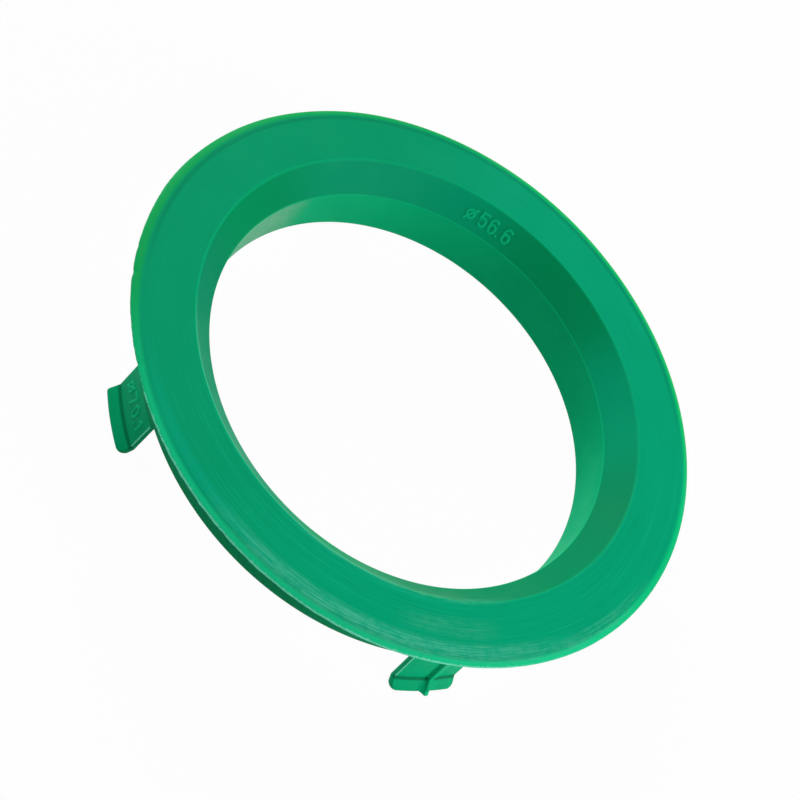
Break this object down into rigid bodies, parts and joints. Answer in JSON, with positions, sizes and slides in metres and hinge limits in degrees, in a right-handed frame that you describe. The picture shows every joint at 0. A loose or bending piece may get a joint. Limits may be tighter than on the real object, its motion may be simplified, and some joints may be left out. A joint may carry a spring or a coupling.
{
  "type": "hub centric ring",
  "caption": "Moulded plastic ring that centres a wheel on a hub: flange, lead-in bore, spigot collar and snap clips with small hooks.",
  "frame": {"origin": "on the ring's axis, in the plane of the four clip ends, which the ring stands on", "axes": "+Z along the ring's axis from the clip ends to the flange's front face, which is the side that faces the hub; +X through the middle of the clip with the centre rib"},
  "size_m": [0.0792, 0.0792, 0.0173],
  "materials": {
    "green_plastic": "satin moulded nylon, slightly translucent at thin edges, fine turning marks on the flange face"
  },
  "bodies": {
    "root": {"hub_ring": "green_plastic"}
  },
  "joints": []
}
